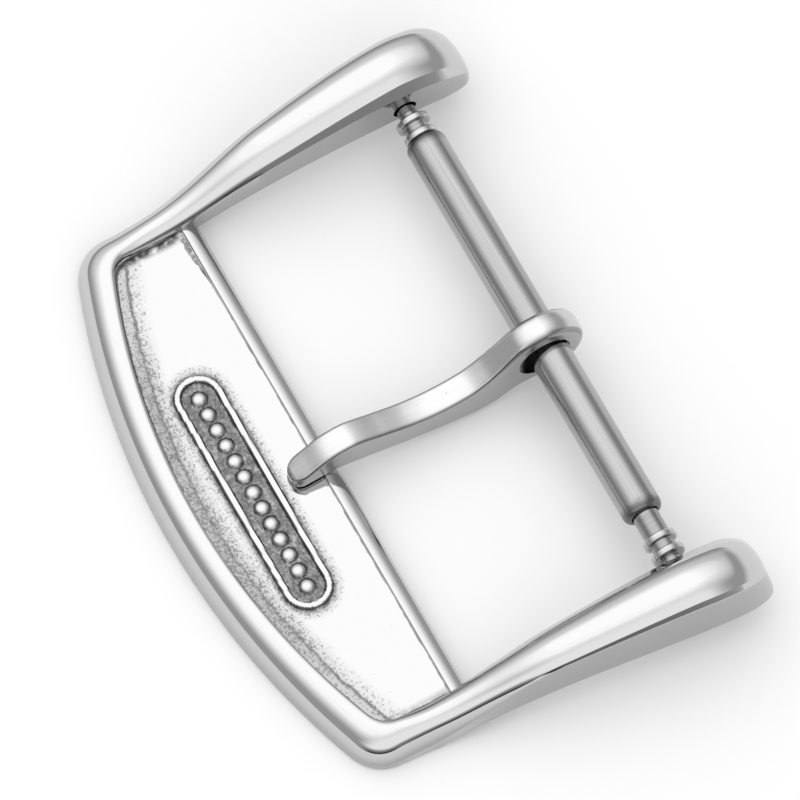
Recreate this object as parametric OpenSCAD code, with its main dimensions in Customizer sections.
// Tang buckle for a watch strap: a polished one-piece frame, an S-shaped tongue
// and a double-flange spring bar that carries the strap and the tongue.
// Millimetres. X runs along the spring bar, Y from the bow to the arm ends, Z up.
// The origin is under the middle of the buckle, on the flat back of the bow.
// Distances called d are measured from the bar's axis towards the bow.

/* [Strap] */
// Width of the strap, which is the gap between the two arms
strap_w = 20; // [16:0.5:24]
// From the bar's axis to the front of the bow
bow_reach = 14.7; // [13.5:0.1:18]
// From the bar's axis to the ends of the arms
end_reach = 2.8; // [2.2:0.1:3.4]
// Height of the bar's axis over the flat back
bar_z = 2.15; // [2:0.05:2.4]

/* [Bow] */
// Radius of the bow's front edge, seen from above
bow_r = 30; // [20:1:60]
// Radius of the recess's front edge, seen from above
recess_r = 26.5; // [20:0.5:60]
// Width of the bow's rim at its middle
rim_w = 1.1; // [0.8:0.05:1.5]
// Height of the bow's outer wall
rim_h = 1.05; // [0.9:0.05:1.4]
// Thickness of the recessed plate
plate_t = 0.85; // [0.6:0.05:0.95]
// From the front of the bow to the window side of the ridge
plate_d = 6.45; // [5.5:0.05:7.5]
// Width of the ridge along the window
ridge_w = 0.55; // [0.4:0.05:0.8]
// Height of the ridge over the flat back
ridge_z = 1.1; // [1.05:0.05:1.3]
// Length that the rounding of an outer corner takes off each side
corner_cut = 1.1; // [0.6:0.1:1.4]
// Length that the rounding of a recess corner takes off each side
recess_cut = 0.6; // [0.3:0.05:0.8]

/* [Arms] */
// Width of an arm beside the recess
arm_w = 1.2; // [1:0.05:1.6]
// Width of an arm at its end
lug_w = 2.45; // [2.1:0.05:3]
// Height of an arm's outer edge over the underside, at the bar
arm_h = 2.05; // [1.8:0.05:2.4]
// Height of an arm's inner edge over the underside, at the bar
arm_inner_h = 1.85; // [1.6:0.05:2.2]
// How far the underside of an arm rises to the bar
arm_rise = 1.45; // [1:0.05:1.5]
// How far the underside comes down again at the arm's end
end_drop = 0.3; // [0:0.05:0.5]
// Length over which an arm's end rounds off
end_round = 1.5; // [1.2:0.05:1.6]
// How far the top comes down in the rounding of an arm's end
end_fall = 1.6; // [1.2:0.05:1.7]
// How far the outer edge draws in towards the arm's end
outer_sweep = 0.4; // [0:0.05:0.5]
// Lean of an arm's outer wall, from its foot to its upper edge
draft = 0.14; // [0.05:0.01:0.2]
// Height of the domed top over its edges
crown = 0.32; // [0.1:0.02:0.4]
// Widest part of the bevel between the dome and the inner wall
bevel = 0.3; // [0.1:0.02:0.4]
// Widest part of the bevel between the dome and the outer wall
outer_bevel = 0.14; // [0.1:0.02:0.3]
// Bevel along the lower edges
foot_bevel = 0.12; // [0.05:0.01:0.2]

/* [Tongue] */
// Width of the tongue
tongue_w = 1.05; // [0.9:0.05:1.4]
// Place of the tongue along the bar
tongue_x = 0.2; // [-1:0.1:1]
// Outside diameter of the tongue's eye
eye_d = 3.1; // [2.9:0.05:3.3]
// Rounding of the eye's outer edges
eye_edge = 0.3; // [0.2:0.05:0.4]
// How far the tongue's underside lies below the bar's axis
belly = 1.85; // [1.6:0.05:1.95]
// Bore of the tongue's eye
eye_bore = 2; // [1.9:0.05:2.1]
// Thickness of the tongue at its waist
waist_t = 1.35; // [1.1:0.05:1.5]
// From the bar's axis to the tongue's waist
waist_d = 4.3; // [4:0.1:4.6]
// From the bar's axis to the top of the tongue's hump
hump_d = 7.6; // [7.3:0.05:7.8]
// Thickness of the tongue at its hump
hump_t = 1.42; // [1.2:0.02:1.5]
// How far the tip reaches past the ridge
tip_over = 1.5; // [1.2:0.05:1.6]
// Thickness of the tip
tip_t = 0.42; // [0.35:0.01:0.6]

/* [Spring bar] */
// Diameter of the tube
bar_d = 1.5; // [1.4:0.05:1.6]
// Length of the right shank that shows, which both tips need to be pushed in
shank_show = 0.97; // [0.92:0.01:1.2]
// Wall of the tube
tube_wall = 0.15; // [0.12:0.01:0.18]
// Length of the tube's narrowed ends
neck_l = 0.4; // [0.3:0.05:0.6]
// Diameter of the flanges
flange_d = 1.25; // [1.15:0.05:1.35]
// Thickness of one flange
flange_t = 0.25; // [0.2:0.01:0.3]
// Width of the groove between the flanges
groove_l = 0.35; // [0.25:0.05:0.4]
// Diameter of the groove
groove_d = 0.9; // [0.8:0.05:1]
// Diameter of the shank inside the tube's mouth
shank_d = 0.95; // [0.85:0.01:0.98]
// Diameter of the tip
tip_d = 0.7; // [0.6:0.05:0.8]
// Length of the tip between the flange and the arm
tip_gap = 0.5; // [0.47:0.01:0.6]
// How far a tip stands in its hole
tip_in = 0.4; // [0.3:0.02:0.42]
// Length of the head that the spring pushes on
head_l = 0.6; // [0.4:0.05:0.9]
// Diameter of the spring's wire
wire_d = 0.16; // [0.12:0.01:0.18]
// Number of turns of the spring
turns = 22; // [16:1:22]

/* [Clearances] */
// Beside a tip in its hole, on each side
tip_clear = 0.1; // [0.05:0.01:0.15]
// Beyond a tip in its hole
tip_end_clear = 0.05; // [0.02:0.01:0.1]
// Round the shank and the head, on each side
slide_clear = 0.035; // [0.02:0.005:0.05]
// Round the spring inside the tube
spring_clear = 0.06; // [0.04:0.01:0.1]
// At the ends of the spring, and of the tube at its flange
end_clear = 0.03; // [0.02:0.01:0.06]
// Between the tube and the side of the eye that it bears on
eye_clear = 0.05; // [0.02:0.01:0.1]
// Between the tongue and the ridge that it rests on
rest_clear = 0.04; // [0.02:0.01:0.08]

/* [Hidden] */
$fn = 64;
EPS = 0.01;
half_w = strap_w / 2;
bar_y = (bow_reach - end_reach) / 2;
ridge_d = bow_reach - plate_d;
seat_d = ridge_d + ridge_w / 2;

// Stations along the frame's loft
ARM_STEPS = 26;
CORNER_STEPS = 8;
BOW_STEPS = 14;
END_STEPS = 8;
DOME_STEPS = 8;
// Over 2, the dome is flatter in its middle and turns more towards its edges
DOME_POWER = 2.4;

// Smooth step from 0 to 1
function ease(s) = s <= 0 ? 0 : s >= 1 ? 1 : s * s * (3 - 2 * s);
function mix(a, b, t) = a + (b - a) * t;
function clamp(s) = max(0, min(1, s));
// Quadratic curve from a to c, drawn towards b
function bend(a, b, c, t) = mix(mix(a, b, t), mix(b, c, t), t);

// Smooth curve through points [d, z] in order of d, as cubic pieces
function slope(p, i) = let (a = max(i - 1, 0), b = min(i + 1, len(p) - 1))
    (p[b][1] - p[a][1]) / (p[b][0] - p[a][0]);
function span(p, d, i = 0) = i >= len(p) - 2 || d < p[i + 1][0] ? i : span(p, d, i + 1);
function along(p, d) = let (i = span(p, d), w = p[i + 1][0] - p[i][0], t = (d - p[i][0]) / w)
    (2 * pow(t, 3) - 3 * pow(t, 2) + 1) * p[i][1] + (pow(t, 3) - 2 * pow(t, 2) + t) * w * slope(p, i)
    + (3 * pow(t, 2) - 2 * pow(t, 3)) * p[i + 1][1] + (pow(t, 3) - pow(t, 2)) * w * slope(p, i + 1);

// Skin over rings of points, with flat ends
function skin_faces(rings, n) = concat(
    [[for (j = [0 : n - 1]) j]],
    [for (i = [0 : rings - 2], j = [0 : n - 1]) [i * n + j, (i + 1) * n + j, (i + 1) * n + (j + 1) % n]],
    [for (i = [0 : rings - 2], j = [0 : n - 1]) [i * n + j, (i + 1) * n + (j + 1) % n, i * n + (j + 1) % n]],
    [[for (j = [n - 1 : -1 : 0]) (rings - 1) * n + j]]);
module skin(rings) {
    polyhedron([for (ring = rings, p = ring) p], skin_faces(len(rings), len(rings[0])), convexity = 8);
}

// The frame's outline from above, for the right half: outer and inner edge
corner_x = half_w + arm_w;
function arc_y(x, reach, r) = -reach + r - sqrt(r * r - x * x);
function bow_y(x) = arc_y(x, bow_reach, bow_r);
function recess_y(x) = arc_y(x, bow_reach - rim_w, recess_r);
corner_d = -bow_y(corner_x);
recess_corner_d = -recess_y(half_w);
SWELL_D = 12.5;
function arm_width(d) = mix(arm_w, lug_w, ease((SWELL_D - d) / (SWELL_D + end_reach)));

// Heights along the frame. The underside rises early, behind the bow, and the top follows later.
FULL_D = 6.5;
RISE_D = 10.8;
FLAT_D = 10;
function past_bar(d) = max(-d, 0) / end_reach;
function underside(d) = arm_rise * (1 - pow(clamp(d / FLAT_D), 2.5)) - end_drop * pow(past_bar(d), 2);
function lift(d) = arm_rise * ease((RISE_D - d) / (RISE_D + EPS)) - end_drop * pow(past_bar(d), 2);
function growth(d) = sin(90 * clamp((corner_d - d) / (corner_d - FULL_D)));
// Share of the full bevel, which opens towards the arm's end
function opening(d) = mix(0.25, 1, ease((FULL_D + 1 - d) / (FULL_D + 1)));

// One section across the frame: points [n, z], n from the inner to the outer wall
function section(d, w) = let (
        z = underside(d), g = growth(d), b = bevel * opening(d), c = outer_bevel * opening(d),
        outer = lift(d) + mix(rim_h, arm_h, g), inner = lift(d) + mix(rim_h, arm_inner_h, g),
        lean = draft * mix(0.2, 1, g), x0 = b, x1 = w - lean - c, z0 = inner + b, z1 = outer + c)
    concat(
        [[foot_bevel, z], [w - foot_bevel, z], [w, z + foot_bevel], [w - lean, outer]],
        [for (k = [0 : DOME_STEPS]) let (t = k / DOME_STEPS, u = abs(2 * t - 1))
            [mix(x1, x0, t), mix(z1, z0, t) + crown * (1 - pow(u, DOME_POWER))]],
        [[0, inner], [0, z + foot_bevel]]);

// A station: outer point, inner point and d. Past the ridge the inner points fall back, to
// reach the recess corner when the outer points reach the bow's corner.
arm_d1 = corner_d - corner_cut;
recess_d1 = recess_corner_d - recess_cut;
function inner_d(d) = d < ridge_d ? d : mix(ridge_d, recess_d1, (d - ridge_d) / (arm_d1 - ridge_d));
function arm_station(d) = [[half_w + arm_width(d), -d], [half_w, -inner_d(d)], d];
bow_x = corner_x - corner_cut;
recess_x = half_w - recess_cut;
function corner_station(t) =
    [bend([half_w + arm_width(arm_d1), -arm_d1], [corner_x, -corner_d], [bow_x, bow_y(bow_x)], t),
     bend([half_w, -recess_d1], [half_w, -recess_corner_d], [recess_x, recess_y(recess_x)], t),
     mix(arm_d1, corner_d, t)];
function bow_station(t) = let (x = bow_x * (1 - t), xr = recess_x * (1 - t))
    [[x, bow_y(x)], [xr, recess_y(xr)], corner_d];

// Arms narrow and come down in a quarter round at their ends, more at the top than below
LOW_INSET = 0.3;
HIGH_INSET = 0.75;
FOOT_LIFT = 0.3;
function end_turn(d) = let (u = clamp((-d - (end_reach - end_round)) / end_round)) 1 - sqrt(1 - u * u);
function end_sweep(d) = outer_sweep * pow(past_bar(d), 2);
function arm_d(k) = mix(-(end_reach - end_round), arm_d1, k / ARM_STEPS);
function end_d(k) = -(end_reach - end_round) - end_round * sin(90 * k / END_STEPS);
half_path = concat(
    [for (k = [END_STEPS : -1 : 1]) arm_station(end_d(k))],
    [for (k = [0 : ARM_STEPS]) arm_station(arm_d(k))],
    [for (k = [1 : CORNER_STEPS]) corner_station(k / CORNER_STEPS)],
    [for (k = [1 : BOW_STEPS]) bow_station(k / BOW_STEPS)]);
function ring(s, side) = let (
        w = norm(s[0] - s[1]), u = (s[0] - s[1]) / w, e = end_turn(s[2]),
        sweep = end_sweep(s[2]) / w, z0 = underside(s[2]))
    [for (p = section(s[2], w)) let (
        f = (p[1] - z0) / (arm_h + crown), inset = e * mix(LOW_INSET, HIGH_INSET, f),
        n = w / 2 + (p[0] - w / 2) * (1 - 2 * inset / w) - sweep * mix(LOW_INSET, 1, f) * p[0],
        z = p[1] - e * mix(-FOOT_LIFT, end_fall, f))
        [side * (s[1][0] + u[0] * n), s[1][1] + u[1] * n, z]];
frame_rings = concat(
    [for (s = half_path) ring(s, 1)],
    [for (i = [len(half_path) - 2 : -1 : 0]) ring(half_path[i], -1)]);

module recess_plate() {
    linear_extrude(plate_t)
    intersection() {
        translate([-half_w - foot_bevel, -bow_reach]) square([strap_w + 2 * foot_bevel, plate_d]);
        translate([0, bow_r - bow_reach]) circle(r = bow_r - rim_w / 2, $fn = 256);
    }
}

module ridge() {
    r = ridge_w / 2;
    translate([-half_w - foot_bevel, -seat_d, 0])
    rotate([90, 0, 90])
    linear_extrude(strap_w + 2 * foot_bevel)
    union() {
        translate([-r, plate_t / 2]) square([ridge_w, ridge_z - r - plate_t / 2]);
        translate([0, ridge_z - r]) circle(r = r);
    }
}

module tip_hole(side) {
    translate([side * (half_w - EPS), 0, bar_z])
    rotate([0, side * 90, 0])
    cylinder(d = tip_d + 2 * tip_clear, h = tip_in + tip_end_clear + EPS);
}

module buckle_frame() {
    color("gainsboro")
    translate([0, bar_y, 0])
    difference() {
        union() {
            skin(frame_rings);
            recess_plate();
            ridge();
        }
        tip_hole(1);
        tip_hole(-1);
    }
}

// Tongue: heights are measured from the bar's axis. Under a pull from the strap the eye
// bears on the tube with its back wall, so its centre lies towards the bow.
eye_r = eye_d / 2;
eye_shift = (eye_bore - bar_d) / 2 - eye_clear;
seat_z = ridge_z - bar_z + rest_clear;
floor_z = plate_t - bar_z + rest_clear;
tip_end_d = seat_d + tip_over;
tongue_start = eye_shift + 0.4;
tongue_under = [
    [tongue_start, 0.05 - eye_r], [1.3, 0.02 - eye_r], [2.1, 0.05 - belly], [waist_d - 0.9, -belly],
    [waist_d + 1.3, 0.3 - belly], [hump_d - 0.5, seat_z - 0.22], [seat_d, seat_z],
    [tip_end_d, floor_z + 0.05]];
// The top leaves the eye along its round, falls to the waist and rises again to the hump
waist_top = waist_t - belly + 0.04;
hump_top = hump_t + seat_z - 0.14;
tip_top = tip_t + floor_z + 0.05;
function on_eye(a, out) = [eye_shift + (eye_r + out) * cos(a), (eye_r + out) * sin(a)];
tongue_top = [
    [tongue_start, 0.97 * eye_r], on_eye(58, -0.01), on_eye(40, -0.01), [1.85, mix(waist_top, eye_r, 0.43)],
    [2.4, mix(waist_top, eye_r, 0.19)], [waist_d - 1.2, waist_top + 0.08], [waist_d, waist_top],
    [waist_d + 1.1, waist_top + 0.09], [hump_d - 1.1, mix(waist_top, hump_top, 0.54)],
    [hump_d, hump_top], [hump_d + 0.6, hump_top - 0.02], [hump_d + 1.15, hump_top - 0.2],
    [mix(hump_d + 1.15, tip_end_d, 0.5), mix(hump_top - 0.2, tip_top, 0.5)], [tip_end_d, tip_top]];
TONGUE_STEPS = 44;
TIP_ROUND = 0.45;
TAPER = 0.96;
TOP_EDGE = 0.16;
LOW_EDGE = 0.08;
function tongue_half(d) = let (u = clamp((d - tip_end_d + TIP_ROUND) / TIP_ROUND))
    tongue_w / 2 * mix(1, TAPER, ease(d / tip_end_d)) * (0.3 + 0.7 * sqrt(1 - u * u));
// Both edges grow to the eye's rounding where the tongue leaves the eye
LEAVE_L = 2;
function tongue_edge(d, edge) =
    mix(eye_edge, edge * tongue_half(d) / tongue_w * 2, ease((d - tongue_start) / LEAVE_L));
function tongue_ring(d) = let (
        low = along(tongue_under, d), high = along(tongue_top, d), h = tongue_half(d),
        e = tongue_edge(d, TOP_EDGE), g = tongue_edge(d, LOW_EDGE))
    [[-h + g, low], [h - g, low], [h, low + g], [h, high - e], [h - e / 3, high - e / 3],
     [h - e, high], [-h + e, high], [-h + e / 3, high - e / 3], [-h, high - e], [-h, low + g]];
// Stations crowd towards the tip, where the outline turns
function tongue_d(k) = mix(tongue_start, tip_end_d, sin(90 * k / TONGUE_STEPS));
tongue_rings = [
    for (k = [0 : TONGUE_STEPS]) let (d = tongue_d(k)) [for (p = tongue_ring(d)) [p[0], -d, p[1]]]];

module eye_ring() {
    half = tongue_w / 2;
    translate([0, -eye_shift, 0])
    rotate([0, 90, 0])
    rotate_extrude($fn = 96)
    polygon(concat(
        [[0, -half]],
        [for (a = [0 : 22.5 : 90]) [eye_r - eye_edge * (1 - sin(a)), -half + eye_edge * (1 - cos(a))]],
        [for (a = [90 : -22.5 : 0]) [eye_r - eye_edge * (1 - sin(a)), half - eye_edge * (1 - cos(a))]],
        [[0, half]]));
}

module eye_hole() {
    translate([-tongue_w, -eye_shift, 0]) rotate([0, 90, 0]) cylinder(d = eye_bore, h = 2 * tongue_w);
}

module tongue() {
    color("silver")
    translate([tongue_x, bar_y, bar_z])
    difference() {
        union() {
            skin(tongue_rings);
            eye_ring();
        }
        eye_hole();
    }
}

// Spring bar: positions along X. The left flange stands at the tube's end, and the tube
// takes up what the flanges, the tips and the right shank leave of the gap between the arms.
stack_l = tip_gap + 2 * flange_t + groove_l;
tube_x0 = -half_w + stack_l + end_clear;
tube_l = strap_w - 2 * stack_l - end_clear - shank_show;
tube_bore = bar_d - 2 * tube_wall;
mouth_d = shank_d + 2 * slide_clear;
head_d = tube_bore - 2 * slide_clear;
shank_l = shank_show + neck_l + end_clear;
left_head_x = -half_w + stack_l + shank_l + head_l;
right_head_x = half_w - stack_l - shank_l - head_l;

module along_x(x, side = 1) {
    translate([x, bar_y, bar_z]) rotate([0, side * 90, 0]) children();
}

module spring_bar_tube() {
    r = bar_d / 2;
    turn = neck_l * 0.75;
    edge = 0.05;
    lip = (bar_d - mouth_d) / 2 - edge;
    color("lightgray")
    along_x(tube_x0)
    rotate_extrude($fn = 96)
    difference() {
        // Outer outline: the mouth curves in at both ends
        polygon(concat(
            [[0, 0]],
            [for (a = [0 : 15 : 90]) [r - lip * (1 - sin(a)), turn * (1 - cos(a))]],
            [for (a = [90 : -15 : 0]) [r - lip * (1 - sin(a)), tube_l - turn * (1 - cos(a))]],
            [[0, tube_l]]));
        translate([0, -EPS]) square([mouth_d / 2, tube_l + 2 * EPS]);
        translate([0, neck_l]) square([tube_bore / 2, tube_l - 2 * neck_l]);
    }
}

// Half outline of a disc with chamfered edges, from x0 to x1 along the plunger
function disc(r, x0, x1, chamfer) =
    [[r - chamfer, x0], [r, x0 + chamfer], [r, x1 - chamfer], [r - chamfer, x1]];

// One plunger, drawn from the tip's end at 0 inwards
module plunger() {
    chamfer = 0.08;
    first = tip_in + tip_gap;
    second = tip_in + stack_l - flange_t;
    shank = tip_in + stack_l;
    head = shank + shank_l;
    rotate_extrude($fn = 72)
    polygon(concat(
        [[0, 0], [tip_d / 2 - chamfer, 0], [tip_d / 2, chamfer], [tip_d / 2, first]],
        disc(flange_d / 2, first, first + flange_t, chamfer),
        [[groove_d / 2, first + flange_t], [groove_d / 2, second]],
        disc(flange_d / 2, second, shank, chamfer),
        [[shank_d / 2, shank], [shank_d / 2, head], [head_d / 2, head], [head_d / 2, head + head_l]],
        [[0, head + head_l]]));
}

module plunger_left() {
    color("darkgray") along_x(-half_w - tip_in) plunger();
}

module plunger_right() {
    color("darkgray") along_x(half_w + tip_in, -1) plunger();
}

// Coil spring between the two heads, one unbroken wire
coil_x0 = left_head_x + end_clear + wire_d / 2;
coil_x1 = right_head_x - end_clear - wire_d / 2;
coil_r = tube_bore / 2 - spring_clear - wire_d / 2;
coil_pitch = (coil_x1 - coil_x0) / turns;
CURL_RINGS = 8;
WIRE_SIDES = 6;
echo(gap_between_turns = coil_pitch - wire_d);
function wire_ring(k) = let (a = 360 * k / CURL_RINGS, x = coil_x0 + coil_pitch * k / CURL_RINGS)
    [for (j = [0 : WIRE_SIDES - 1]) let (b = 360 * j / WIRE_SIDES, r = coil_r + wire_d / 2 * cos(b))
        [x + wire_d / 2 * sin(b), r * cos(a), r * sin(a)]];

module coil_spring() {
    color("dimgray")
    translate([0, bar_y, bar_z])
    skin([for (k = [turns * CURL_RINGS : -1 : 0]) wire_ring(k)]);
}

buckle_frame();
tongue();
spring_bar_tube();
plunger_left();
plunger_right();
coil_spring();
